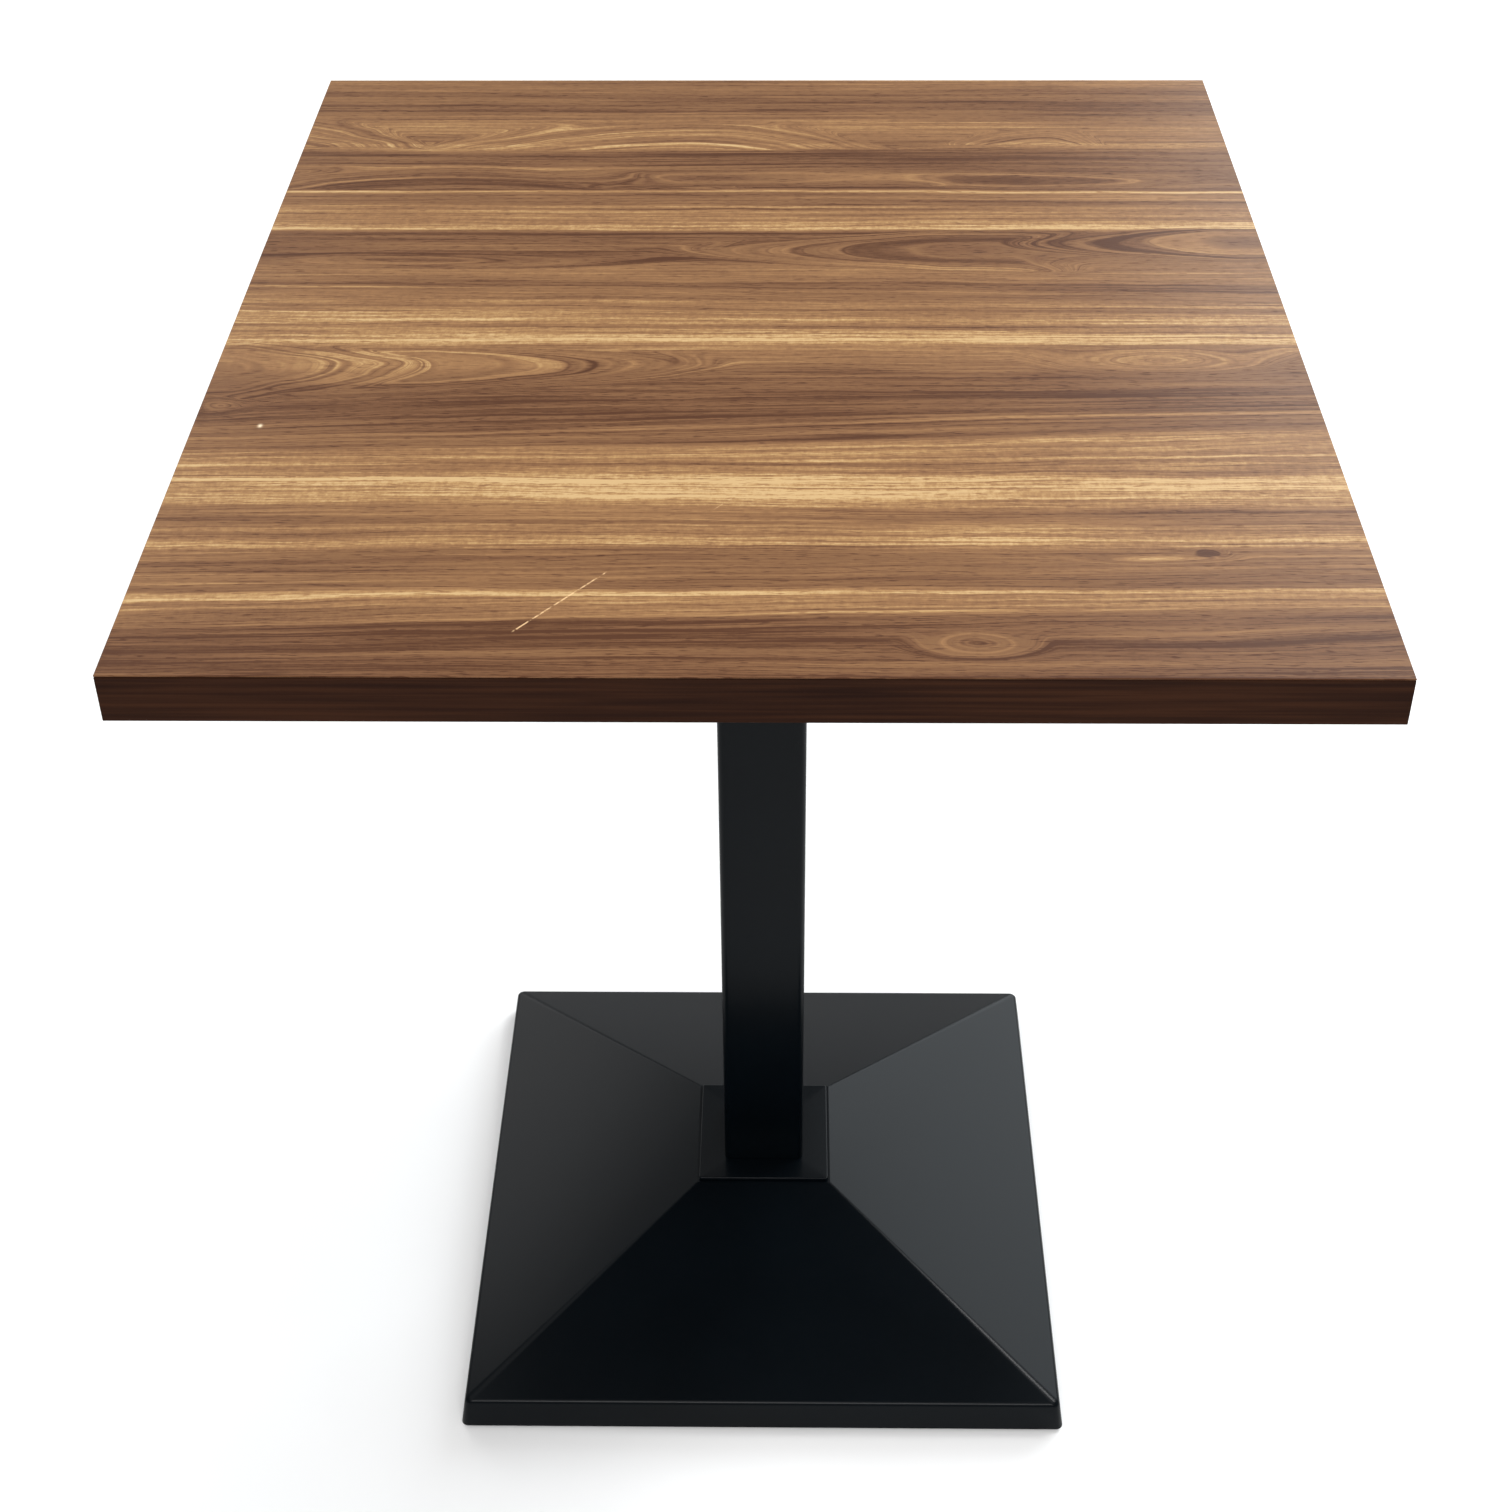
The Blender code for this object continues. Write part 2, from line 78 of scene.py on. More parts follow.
# Fineness of the meshes
CORNER_STEPS = 8
ROUND_STEPS = 48
SHARP_ANGLE = math.radians(32)  # edges sharper than this are not shaded smooth


# ---------------------------------------------------------------- geometry


def new_piece(name, mesh, slot, *cad_nodes, body=TABLE):
    """A finished piece that stands for those CAD nodes and moves with their body."""
    obj = bpy.data.objects.new(name, mesh)
    bpy.context.scene.collection.objects.link(obj)
    mesh.materials.clear()
    mesh.materials.append(MATERIALS[slot])
    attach(obj, body)
    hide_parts(*cad_nodes)


def shade(mesh):
    mesh.shade_smooth()
    mesh.set_sharp_from_angle(angle=SHARP_ANGLE)


def mesh_from(name, points, faces):
    mesh = bpy.data.meshes.new(name)
    mesh.from_pydata(points, [], faces)
    shape = bmesh.new()
    shape.from_mesh(mesh)
    bmesh.ops.remove_doubles(shape, verts=shape.verts, dist=1e-7)
    bmesh.ops.recalc_face_normals(shape, faces=shape.faces)
    shape.to_mesh(mesh)
    shape.free()
    shade(mesh)
    return mesh


def square_ring(half, corner, height):
    """A square with round corners, of equally many points at any size. corner = half gives a circle."""
    corner = min(corner, half)
    points = []
    for quarter in range(4):
        start = quarter * math.pi / 2
        side_x = math.copysign(half - corner, math.cos(start + math.pi / 4))
        side_y = math.copysign(half - corner, math.sin(start + math.pi / 4))
        for step in range(CORNER_STEPS + 1):
            angle = start + step / CORNER_STEPS * math.pi / 2
            points.append((side_x + corner * math.cos(angle), side_y + corner * math.sin(angle), height))
    return points


def loft(name, rings, closed):
    """Joins rings of equally many points: the last to the first too if closed, or else with end caps."""
    count = len(rings[0])
    points = [point for ring in rings for point in ring]
    faces = []
    for i in range(len(rings) - (not closed)):
        here = i * count
        there = (i + 1) % len(rings) * count
        for j in range(count):
            k = (j + 1) % count
            faces.append((here + j, here + k, there + k, there + j))
    if not closed:
        faces.append(tuple(range(count)))
        faces.append(tuple(range((len(rings) - 1) * count, len(rings) * count)))
    return mesh_from(name, points, faces)


def filleted(profile, steps=5):
    """Turns the (distance, height, radius) corners of a closed profile into points that round them."""
    points = []
    for i, (x, z, radius) in enumerate(profile):
        corner = Vector((x, z))
        if radius == 0:
            points.append(corner)
            continue
        before = Vector(profile[i - 1][:2]) - corner
        after = Vector(profile[(i + 1) % len(profile)][:2]) - corner
        half_angle = before.angle(after) / 2
        reach = radius / math.tan(half_angle)
        start = corner + before.normalized() * reach
        end = corner + after.normalized() * reach
        bisector = (before.normalized() + after.normalized()).normalized()
        centre = corner + bisector * (radius / math.sin(half_angle))
        first = math.atan2(*(start - centre).yx)
        sweep = math.remainder(math.atan2(*(end - centre).yx) - first, 2 * math.pi)
        for step in range(steps + 1):
            angle = first + sweep * step / steps
            points.append(centre + radius * Vector((math.cos(angle), math.sin(angle))))
    return points


def square_body(name, profile, corner_of, steps=5):
    """A body that is square at every level, from a closed profile of (half side, height, fillet)."""
    rings = [
        square_ring(point.x, corner_of(point.x, point.y), point.y)
        for point in filleted(profile, steps)
    ]
    return loft(name, rings, closed=True)


def lathe(name, profile, centre=(0, 0), steps=ROUND_STEPS):
    """Turns a closed ring of (radius, height, fillet) corners, or a line from axis to axis, round Z."""
    open_line = profile[0][0] == 0
    points = filleted(profile, 4)
    vertices = []
    rows = []
    for point in points:
        if point.x < 1e-9:
            rows.append([len(vertices)] * steps)
            vertices.append((centre[0], centre[1], point.y))
            continue
        rows.append(list(range(len(vertices), len(vertices) + steps)))
        for step in range(steps):
            angle = step / steps * 2 * math.pi
            vertices.append(
                (
                    centre[0] + point.x * math.cos(angle),
                    centre[1] + point.x * math.sin(angle),
                    point.y,
                )
            )
    faces = []
    for i in range(len(rows) - open_line):
        here, there = rows[i], rows[(i + 1) % len(rows)]
        for j in range(steps):
            k = (j + 1) % steps
            corners = dict.fromkeys((here[j], here[k], there[k], there[j]))
            faces.append(tuple(corners))
    return mesh_from(name, vertices, faces)


def threaded_rod(name, radius, pitch, low, high, thread_ranges, centre=(0, 0), steps=32):
    """A rod with chamfered ends and a helical V thread over each (low, high) range."""
    depth = 0.6 * pitch
    per_pitch = 6
    heights = set()
    for start, end in thread_ranges:
        count = round((end - start) / pitch * per_pitch)
        heights.update(start + (end - start) * i / count for i in range(count + 1))
    heights.update((low, high, low + depth, high - depth))
    rings = []
    for height in sorted(heights):
        ring = []
        for step in range(steps):
            turn = step / steps
            cut = 0.0
            for start, end in thread_ranges:
                if start <= height <= end:
                    run_out = min(1.0, (height - start) / pitch, (end - height) / pitch)
                    phase = ((height - start) / pitch - turn) % 1.0
                    cut = depth * run_out * (1 - abs(2 * phase - 1))
            edge = min(height - low, high - height)
            r = min(radius - cut, radius - depth + edge)
            angle = turn * 2 * math.pi
            ring.append((centre[0] + r * math.cos(angle), centre[1] + r * math.sin(angle), height))
        rings.append(ring)
    return loft(name, rings, closed=False)


def carve(mesh, operation, tools):
    """Applies exact Booleans to a mesh, with other meshes as tools, and returns the result."""
    host = bpy.data.objects.new(mesh.name, mesh)
    bpy.context.scene.collection.objects.link(host)
    helpers = []
    for tool in tools:
        helper = bpy.data.objects.new(tool.name, tool)
        bpy.context.scene.collection.objects.link(helper)
        helpers.append(helper)
        step = host.modifiers.new("Carve", "BOOLEAN")
        step.operation = operation
        step.object = helper
    bpy.context.view_layer.update()
    evaluated = host.evaluated_get(bpy.context.evaluated_depsgraph_get())
    result = bpy.data.meshes.new_from_object(evaluated)
    for helper in (host, *helpers):
        data = helper.data
        bpy.data.objects.remove(helper)
        bpy.data.meshes.remove(data)
    shade(result)
    return result


def hexagon(name, half_flats, low, high, chamfer, bore=0.0, centre=(0, 0)):
    """A hexagon nut or head with two corners along Y, its corners turned down at both ends."""
    radius = half_flats / math.cos(math.pi / 6)
    rings = [[], []]
    for i in range(6):
        angle = math.pi / 2 + i / 6 * 2 * math.pi
        corner = centre[0] + radius * math.cos(angle), centre[1] + radius * math.sin(angle)
        rings[0].append((*corner, low))
        rings[1].append((*corner, high))
    slack = 0.1 * MM
    cone = [
        (bore, high, 0),
        (half_flats - slack, high, 0),
        (radius + slack, high - chamfer, 0),
        (radius + slack, low + chamfer, 0),
        (half_flats - slack, low, 0),
        (bore, low, 0),
    ]
    return carve(loft(name, rings, closed=False), "INTERSECT", [lathe(f"{name}_cone", cone, centre)])


def middle_of(node):
    low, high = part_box(node)
    return (low.x + high.x) / 2, (low.y + high.y) / 2


# ---------------------------------------------------------------- materials


class Graph:
    """Short calls for building the nodes of one material."""

    def __init__(self, name):
        self.material = bpy.data.materials.new(name)
        self.material.use_nodes = True
        self.nodes = self.material.node_tree.nodes
        self.links = self.material.node_tree.links
        self.shader = self.nodes["Principled BSDF"]

    def node(self, kind, inputs=(), **settings):
        made = self.nodes.new(kind)
        for key, value in settings.items():
            setattr(made, key, value)
        for key, value in dict(inputs).items():
            self.set(made.inputs[key], value)
        return made

    def set(self, socket, value):
        if isinstance(value, bpy.types.NodeSocket):
            self.links.new(value, socket)
        else:
            socket.default_value = value

    def math(self, operation, *values):
        return self.node("ShaderNodeMath", enumerate(values), operation=operation).outputs[0]

    def total(self, *values):
        result = values[0]
        for value in values[1:]:
            result = self.math("ADD", result, value)
        return result

    def weighted(self, value, centre, strength):
        """(value - centre) x strength."""
        return self.math("MULTIPLY_ADD", value, strength, -centre * strength)

    def vector(self, x, y, z):
        return self.node("ShaderNodeCombineXYZ", {"X": x, "Y": y, "Z": z}).outputs[0]

    def stretched(self, x, length, y, width, seed):
        """A place for a texture whose unit is length along x and width across it, in millimetres."""
        along = self.math("MULTIPLY", x, 1 / length)
        across = self.math("MULTIPLY", y, 1 / width)
        return self.vector(along, across, seed)

    def place_mm(self):
        """The surface point in the table's frame, in millimetres, as three sockets."""
        where = self.node("ShaderNodeTexCoord").outputs["Object"]
        scaled = self.node("ShaderNodeVectorMath", {0: where, 3: 1 / MM}, operation="SCALE")
        return self.node("ShaderNodeSeparateXYZ", {0: scaled.outputs[0]}).outputs

    def noise(self, vector, scale=1.0, detail=2.0, roughness=0.5):
        values = {"Vector": vector, "Scale": scale, "Detail": detail, "Roughness": roughness}
        return self.node("ShaderNodeTexNoise", values).outputs[0]

    def ramp(self, value, stops):
        """stops is (position, colour) from low to high. A colour may be one number."""
        made = self.node("ShaderNodeValToRGB", {"Fac": value})
        elements = made.color_ramp.elements
        while len(elements) < len(stops):
            elements.new(1.0)
        for element, (position, colour) in zip(elements, stops):
            element.position = position
            if isinstance(colour, (int, float)):
                colour = (colour, colour, colour)
            element.color = (*colour, 1.0)
        return made.outputs[0]

    def between(self, value, low, high, out_low=0.0, out_high=1.0):
        values = {0: value, 1: low, 2: high, 3: out_low, 4: out_high}
        made = self.node("ShaderNodeMapRange", values, interpolation_type="SMOOTHSTEP")
        return made.outputs[0]

    def mix(self, share, a, b):
        values = {"Factor": share, 6: a, 7: b}
        return self.node("ShaderNodeMix", values, data_type="RGBA").outputs[2]

    def bump(self, height, strength, distance):
        values = {"Height": height, "Strength": strength, "Distance": distance}
        return self.node("ShaderNodeBump", values).outputs[0]

    def finish(self, **inputs):
        names = {
            "colour": "Base Color",
            "roughness": "Roughness",
            "metallic": "Metallic",
            "specular": "Specular IOR Level",
            "normal": "Normal",
            "coat": "Coat Weight",
            "coat_roughness": "Coat Roughness",
        }
        for key, value in inputs.items():
            self.set(self.shader.inputs[names[key]], value)
        return self.material


def srgb(red, green, blue):
    """Display values from 0 to 255 as linear light."""
    return tuple(
        c / 12.92 if c <= 0.04045 else ((c + 0.055) / 1.055) ** 2.4
        for c in (red / 255, green / 255, blue / 255)
    )


# Tone of the printed boards from the back edge of the table to the front, 0 dark and 1 pale: where a
# band starts, in millimetres from the middle of the table, and its tone there and where the next starts
BANDS = (
    (352, 0.54, 0.50),
    (330, 0.39, 0.34),
    (294, 0.46, 0.60),
    (268, 0.56, 0.50),
    (243, 0.58, 0.62),
    (231, 0.22, 0.34),
    (208, 0.38, 0.30),
    (164, 0.44, 0.50),
    (148, 0.60, 0.66),
    (124, 0.72, 0.84),
    (113, 0.28, 0.34),
    (88, 0.38, 0.40),
    (70, 0.52, 0.52),
    (45, 0.26, 0.26),
    (37, 0.50, 0.44),
    (24, 0.62, 0.60),
    (5, 0.76, 0.76),
    (-9, 0.66, 0.68),
    (-19, 0.84, 0.94),
    (-32, 0.62, 0.50),
    (-62, 0.38, 0.30),
    (-84, 0.26, 0.28),
    (-124, 0.38, 0.46),
    (-142, 0.60, 0.74),
    (-177, 0.92, 0.84),
    (-203, 0.58, 0.44),
    (-219, 0.62, 0.80),
    (-243, 0.46, 0.50),
    (-266, 0.42, 0.38),
    (-278, 0.66, 0.60),
    (-300, 0.28, 0.22),
    (-345, 0.24, 0.24),
)
# Pale lines between boards: where, in millimetres, half width and strength
PALE_LINES = (
    (240, 2.2, 0.14),
    (168, 3.0, 0.85),
    (115, 1.8, 0.12),
    (33, 1.8, 0.46),
    (23, 1.5, 0.34),
    (-27, 2.0, 0.12),
    (-121, 2.3, 0.56),
    (-178, 1.8, 0.18),
    (-281, 2.2, 0.32),
    (-301, 2.4, 0.52),
)
# Growth lines that arch over the edge of a board: middle x, foot y, reach to the left and to the right,
# height and how much paler the heart is
ARCHES = (
    (-50, 235, 165, 117, 43, -0.06),
    (-330, 237, 60, 104, 48, -0.06),
    (185, 240, 60, 38, 26, 0.06),
    (-190, 173, 150, 165, 34, 0.00),
)
# Flames: tip x and y, length (negative where the tip points left), half width towards the back and the
# front, how many lengths it runs before it fades, and how much paler the heart is
FLAMES = (
    (118, 189, 90, 8, 9, 1.9, 0.02),
    (208, 186, 46, 7, 7, 1.8, 0.05),
    (48, 86, -58, 16, 17, 1.7, -0.10),
    (232, 96, -46, 14, 16, 4.0, 0.10),
    (-122, -56, 60, 15, 20, 1.8, 0.26),
    (-250, -58, 38, 19, 22, 3.0, 0.24),
)
# Eyes and knots: x, y, half length, half width and how much paler the heart is
EYES = (
    (221, -50, 48, 13, 0.18),
    (213, -247, 9, 6, -0.50),
    (192, -253, 28, 5, 0.20),
    (103, -325, 22, 8, 0.14),
    (-215, 72, 100, 9, 0.08),
    (-291, -92, 12, 4, 0.30),
)
# Where the grain runs at a slant: y, half width, and how far it climbs from the left edge to the right
SLANTS = (
    (-122, 32, 34),
    (30, 24, -13),
    (-306, 22, 24),
    (-258, 16, 14),
)
# Colours of the print from dark grain to pale sapwood
GRAIN_COLOURS = (
    (0.00, (75, 44, 25)),
    (0.13, (92, 60, 37)),
    (0.27, (107, 73, 48)),
    (0.41, (117, 83, 54)),
    (0.53, (126, 90, 59)),
    (0.66, (138, 101, 66)),
    (0.79, (153, 117, 76)),
    (0.90, (171, 136, 91)),
    (1.00, (187, 156, 111)),
)
PRINT_HALF = 400  # the ramps below cover this many millimetres each way


def bell(g, *squares):
    """exp(-(a + b + ...)) of sockets that are already squared."""
    return g.math("EXPONENT", g.math("MULTIPLY", g.total(*squares), -1.0))


def squared(g, value, centre, width):
    scaled = g.weighted(value, centre, 1 / width)
    return g.math("MULTIPLY", scaled, scaled)


def reach_share(g, offset, left, right):
    """The offset as a share of the reach on its side: -1 at the left end, 1 at the right one."""
    on_right = g.math("MULTIPLY", g.math("MAXIMUM", offset, 0.0), 1 / right)
    return g.math("MULTIPLY_ADD", g.math("MINIMUM", offset, 0.0), 1 / left, on_right)


def arch_rings(g, x, lay, arch):
    """0 at the heart to 1 on the outermost arch, the same as a ring coordinate in mm, and its share."""
    middle, foot, left, right, height, _ = arch
    along = reach_share(g, g.math("SUBTRACT", x, middle), left, right)
    rings = g.math("MULTIPLY_ADD", along, along, g.weighted(lay, foot, 1 / height))
    above_foot = g.math("GREATER_THAN", lay, foot - 1)
    share = g.math("MULTIPLY", g.between(rings, 0.90, 1.25, 1.0, 0.0), above_foot)
    return rings, g.math("MULTIPLY_ADD", rings, height * 0.8, foot + height * 0.2), share


def flame_rings(g, x, lay, flame):
    tip_x, tip_y, length, half_back, half_front, run, _ = flame
    along = g.weighted(x, tip_x, 1 / length)
    across = reach_share(g, g.math("SUBTRACT", lay, tip_y), half_front, half_back)
    rings = g.math("MULTIPLY_ADD", across, across, g.math("MAXIMUM", along, -1.0))
    rings = g.math("MAXIMUM", rings, g.math("MULTIPLY", rings, 0.25))
    before_end = g.between(along, -run - 1.0, -run)
    share = g.math("MULTIPLY", g.between(rings, 1.1, 2.0, 1.0, 0.0), before_end)
    return rings, g.math("MULTIPLY_ADD", rings, 0.8 * half_back, tip_y), share


def eye_rings(g, x, lay, eye):
    centre_x, centre_y, half_length, half_width, _ = eye
    along = squared(g, x, centre_x, half_length)
    rings = g.math("SQRT", g.math("ADD", along, squared(g, lay, centre_y, half_width)))
    share = g.between(rings, 0.8, 1.8, 1.0, 0.0)
    return g.math("SUBTRACT", rings, 0.6), g.math("MULTIPLY_ADD", rings, half_width, centre_y), share


def grain_lay(g, x, y):
    """The distance across the boards, in millimetres, with their waviness and slants taken out."""
    slow = g.noise(g.stretched(x, 260, y, 70, 3.0), detail=1)
    quick = g.noise(g.stretched(x, 60, y, 14, 9.0), detail=2)
    lay = g.total(y, g.weighted(slow, 0.5, 9.0), g.weighted(quick, 0.5, 3.6))
    for centre_y, half_width, climb in SLANTS:
        share = bell(g, squared(g, y, centre_y, half_width))
        lay = g.math("MULTIPLY_ADD", g.math("MULTIPLY", x, -climb / 600), share, lay)
    return lay


def print_position(place):
    return (place + PRINT_HALF) / (2 * PRINT_HALF)


def band_tone(g, position):
    """The boards' tone. The bands fill two ramps of 32 stops, one for the front and one for the back."""
    stops = []
    for (start, tone, end_tone), (end, *_) in zip(BANDS, (*BANDS[1:], (-PRINT_HALF, 0))):
        stops.append((print_position(start - 0.8), tone))
        stops.append((print_position(end + 0.8), end_tone))
    stops.reverse()
    half = len(stops) // 2
    front = g.ramp(position, stops[:half])
    back = g.ramp(position, stops[half:])
    split = (stops[half - 1][0] + stops[half][0]) / 2
    return g.mix(g.math("GREATER_THAN", position, split), front, back)


def line_tone(g, position):
    stops = []
    for place, half_width, strength in reversed(PALE_LINES):
        stops.append((print_position(place - half_width), 0.0))
        stops.append((print_position(place), strength))
        stops.append((print_position(place + half_width), 0.0))
    return g.ramp(position, stops)


def scratch(g, x, y, start, end, half_width, taper=3.0):
    """1 on a thin straight scratch between two places in millimetres, 0 elsewhere."""
    run = Vector(end) - Vector(start)
    length = run.length
    run.normalize()
    from_x = g.math("SUBTRACT", x, start[0])
    from_y = g.math("SUBTRACT", y, start[1])
    along = g.math("MULTIPLY_ADD", from_x, run.x, g.math("MULTIPLY", from_y, run.y))
    across = g.math("MULTIPLY_ADD", from_x, -run.y, g.math("MULTIPLY", from_y, run.x))
    near = g.between(g.math("ABSOLUTE", across), half_width, half_width * 2, 1.0, 0.0)
    begun = g.between(along, 0.0, taper)
    unfinished = g.between(along, length - taper, length, 1.0, 0.0)
    return g.math("MULTIPLY", near, g.math("MULTIPLY", begun, unfinished))


def walnut_laminate():
    """Printed walnut: boards of different tone, cathedral figure, streaks, pores and a cross ripple."""
    g = Graph("walnut_laminate_print")
    x, y, _ = g.place_mm()
    lay = grain_lay(g, x, y)
    position = g.math("MULTIPLY_ADD", lay, 1 / (2 * PRINT_HALF), 0.5)
    rings = lay
    heart = 0.0
    near_figure = 0.0
    figures = [(arch_rings, arch) for arch in ARCHES]
    figures += [(flame_rings, flame) for flame in FLAMES]
    figures += [(eye_rings, eye) for eye in EYES]
    sway = g.noise(g.stretched(x, 60, y, 20, 15.0), detail=1)
    swayed = g.math("ADD", x, g.weighted(sway, 0.5, 26.0))
    for shape, figure in figures:
        depth, own_rings, share = shape(g, swayed, lay, figure)
        bend = g.math("SUBTRACT", own_rings, rings)
        rings = g.math("MULTIPLY_ADD", bend, share, rings)
        heart = g.math("MULTIPLY_ADD", g.between(depth, 0.0, 0.3, figure[-1], 0.0), share, heart)
        near_figure = g.math("MAXIMUM", near_figure, share)

    def streaks(length, width, seed, detail=2.0, roughness=0.55):
        return g.noise(g.stretched(x, length, rings, width, seed), detail=detail, roughness=roughness)

    broad = streaks(420, 13, 1.7)
    medium = streaks(300, 4.2, 5.3, 3.0)
    fine = streaks(90, 1.2, 8.1, 2.0)
    hair = streaks(700, 6.0, 12.9, 1.0)
    dark_hairs = g.between(g.math("ABSOLUTE", g.math("SUBTRACT", hair, 0.5)), 0.0, 0.03, 1.0, 0.0)
    growth = streaks(2000, 3.6, 21.0, 1.0)
    patches = g.noise(g.stretched(x, 120, y, 30, 4.4), detail=2)
    pores = g.between(g.noise(g.stretched(x, 9, y, 0.8, 2.2), detail=1), 0.56, 0.70)
    ripple = g.noise(g.stretched(x, 2.8, y, 4.5, 6.6), detail=3, roughness=0.65)
    bands = band_tone(g, position)
    lines = line_tone(g, position)
    growth_strength = g.math("MULTIPLY_ADD", near_figure, 0.85, 0.15)
    line_strength = g.between(medium, 0.25, 0.55, 0.55, 1.0)
    ripple_strength = g.math("MULTIPLY_ADD", g.between(bands, 0.42, 0.75), 0.70, 0.30)
    tone = g.total(
        bands,
        heart,
        g.weighted(broad, 0.5, 0.50),
        g.weighted(medium, 0.5, 1.05),
        g.weighted(fine, 0.5, 0.74),
        g.weighted(patches, 0.5, 0.30),
        g.math("MULTIPLY", g.weighted(growth, 0.5, 1.15), growth_strength),
        g.math("MULTIPLY", lines, line_strength),
        g.math("MULTIPLY", dark_hairs, -0.22),
        g.math("MULTIPLY", pores, -0.29),
        g.math("MULTIPLY", g.weighted(ripple, 0.5, 0.48), ripple_strength),
    )
    colour = g.ramp(tone, [(place, srgb(*rgb)) for place, rgb in GRAIN_COLOURS])
    worn = scratch(g, x, y, (-113, -315), (-71, -263), 0.28)
    faint = scratch(g, x, y, (-23, -209), (-11, -194), 0.22)
    broken = g.between(g.noise(g.vector(x, y, 0.0), scale=0.35, detail=2), 0.35, 0.6)
    marks = g.math("MULTIPLY", g.math("MULTIPLY_ADD", faint, 0.4, worn), broken)
    colour = g.mix(g.math("MULTIPLY", marks, 0.75), colour, (*srgb(226, 188, 140), 1.0))
    speck = bell(g, squared(g, x, -264, 1.1), squared(g, y, -124, 1.6))
    colour = g.mix(speck, colour, (*srgb(236, 214, 180), 1.0))
    relief = g.total(
        g.math("MULTIPLY", pores, -0.8), g.math("MULTIPLY", fine, 0.5), g.math("MULTIPLY", marks, -1.0)
    )
    return g.finish(
        colour=colour,
        roughness=g.math("MULTIPLY_ADD", pores, 0.12, 0.37),
        specular=0.10,
        normal=g.bump(relief, 0.25, 0.00006),
    )


def walnut_edging():
    """Dark edge banding with faint level streaks."""
    g = Graph("walnut_edging_print")
    x, y, z = g.place_mm()
    along = g.math("ADD", x, y)

    def level_texture(length, seed, height, detail):
        stretched = (g.math("MULTIPLY", along, 1 / length), seed, g.math("MULTIPLY", z, 1 / height))
        return g.noise(g.vector(*stretched), detail=detail)

    streak = level_texture(120, 0.0, 2.2, 3)
    cloud = level_texture(160, 4.0, 40, 2)
    tone = g.total(streak, g.weighted(cloud, 0.5, 0.5))
    colour = g.ramp(
        tone, ((0.3, srgb(33, 16, 9)), (0.5, srgb(43, 23, 13)), (0.7, srgb(55, 31, 18)))
    )
    pores = level_texture(9, 7.0, 0.5, 1)
    return g.finish(
        colour=colour,
        roughness=0.42,
        specular=0.04,
        normal=g.bump(pores, 0.2, 0.00006),
    )


def powder_coat(name, colour, roughness, specular):
    """Satin black powder coat: a fine orange peel and very slight change of gloss."""
    g = Graph(name)
    x, y, z = g.place_mm()
    place = g.vector(x, y, z)
    peel = g.noise(place, scale=0.55, detail=3, roughness=0.6)
    grain = g.noise(place, scale=2.4, detail=1)
    cloud = g.noise(place, scale=0.012, detail=3)
    shade = g.ramp(
        g.total(g.weighted(cloud, 0.5, 0.8), grain),
        ((0.25, tuple(c * 0.75 for c in colour)), (0.75, tuple(c * 1.3 for c in colour))),
    )
    return g.finish(
        colour=shade,
        roughness=g.math("MULTIPLY_ADD", cloud, 0.08, roughness - 0.04),
        specular=specular,
        coat=0.145,
        coat_roughness=0.2,
        normal=g.bump(g.math("MULTIPLY_ADD", grain, 0.3, peel), 0.18, 0.00012),
    )


def cast_iron():
    g = Graph("cast_iron_primer")
    x, y, z = g.place_mm()
    place = g.vector(x, y, z)
    coarse = g.noise(place, scale=0.28, detail=5, roughness=0.65)
    cloud = g.noise(place, scale=0.02, detail=3)
    colour = g.ramp(
        g.total(g.weighted(coarse, 0.5, 0.5), cloud),
        ((0.3, srgb(28, 28, 29)), (0.6, srgb(48, 47, 46)), (0.8, srgb(70, 63, 56))),
    )
    return g.finish(
        colour=colour,
        roughness=g.math("MULTIPLY_ADD", coarse, 0.3, 0.5),
        metallic=0.35,
        normal=g.bump(coarse, 0.6, 0.0006),
    )


def zinc_plate():
    g = Graph("zinc_plate")
    x, y, z = g.place_mm()
    place = g.vector(x, y, z)
    cloud = g.noise(place, scale=0.12, detail=3)
    grain = g.noise(g.vector(x, y, g.math("MULTIPLY", z, 5.0)), scale=1.6, detail=2)
    colour = g.ramp(
        cloud, ((0.3, srgb(186, 188, 194)), (0.55, srgb(206, 204, 198)), (0.75, srgb(214, 205, 182)))
    )
    return g.finish(
        colour=colour,
        roughness=g.math("MULTIPLY_ADD", grain, 0.2, 0.2),
        metallic=1.0,
        normal=g.bump(grain, 0.15, 0.00008),
    )


def chipboard():
    g = Graph("chipboard")
    x, y, z = g.place_mm()
    place = g.vector(x, g.math("MULTIPLY", y, 0.6), z)
    chips = g.node("ShaderNodeTexVoronoi", {"Vector": place, "Scale": 0.35}).outputs["Distance"]
    colour = g.ramp(
        chips, ((0.0, srgb(214, 184, 138)), (0.5, srgb(190, 156, 110)), (1.0, srgb(140, 106, 70)))
    )
    return g.finish(colour=colour, roughness=0.9, normal=g.bump(chips, 0.4, 0.0003))


def moulded(name, dark, light, roughness):
    """Dark sheet or moulded plastic with a fine even texture."""
    g = Graph(name)
    x, y, z = g.place_mm()
    place = g.vector(x, y, z)
    grain = g.noise(place, scale=1.3, detail=3)
    cloud = g.noise(place, scale=0.015, detail=3)
    colour = g.ramp(g.total(g.weighted(grain, 0.5, 0.5), cloud), ((0.3, dark), (0.7, light)))
    return g.finish(
        colour=colour,
        roughness=g.math("MULTIPLY_ADD", grain, 0.15, roughness),
        normal=g.bump(grain, 0.3, 0.0001),
    )


